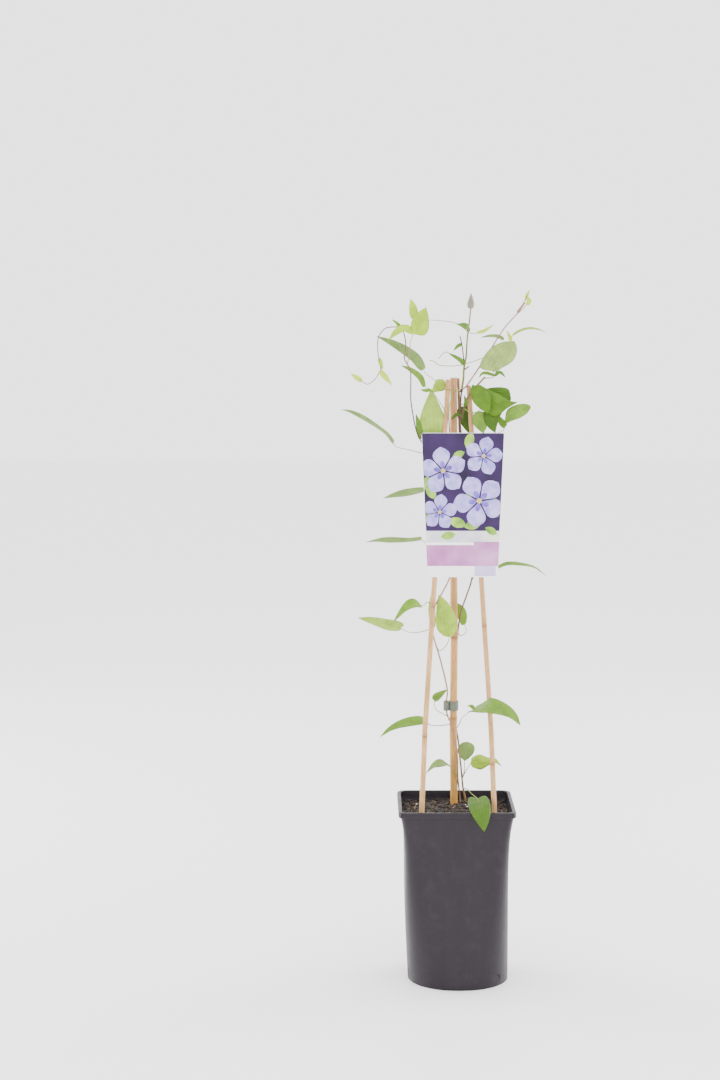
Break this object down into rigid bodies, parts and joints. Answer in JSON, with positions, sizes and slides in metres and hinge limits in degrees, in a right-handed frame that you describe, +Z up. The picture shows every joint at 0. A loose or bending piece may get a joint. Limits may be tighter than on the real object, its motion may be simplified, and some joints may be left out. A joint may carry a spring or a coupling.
{
  "type": "potted climbing clematis on canes",
  "caption": "Young clematis climbing a wigwam of bamboo canes in a deep dark pot that is square at the rim and round at the foot, with a flower bud and a plant label",
  "frame": {"origin": "centre of the pot's flat underside, on its axis", "axes": "+Z up along the pot's axis, -Y towards the label's printed face, +X to the right of someone who reads the label"},
  "size_m": [0.2424, 0.1465, 0.8188],
  "materials": {
    "pot_plastic": "satin moulded charcoal plastic",
    "soil": "rough moist peat soil",
    "bamboo": "smooth tan bamboo",
    "clip_plastic": "grey-green plastic",
    "label_card": "printed semi-gloss plastic card",
    "strap_film": "clear film",
    "foliage": "soft satin mid-green leaf",
    "young_foliage": "soft satin yellow-green leaf",
    "dark_foliage": "soft satin deep green leaf",
    "bud": "downy taupe bud"
  },
  "bodies": {
    "root": {"pot": "pot_plastic", "soil": "soil", "cane_left": "bamboo", "cane_right": "bamboo", "cane_middle": "bamboo", "clip": "clip_plastic", "label": "label_card", "label_strap": "strap_film", "vine_left": "foliage", "vine_right": "foliage", "shoot_arch": "young_foliage", "shoot_centre": "foliage", "shoot_right": "foliage", "spur_right": "dark_foliage", "leaf_long_stalk": "foliage", "bud_centre": "bud"}
  },
  "joints": []
}
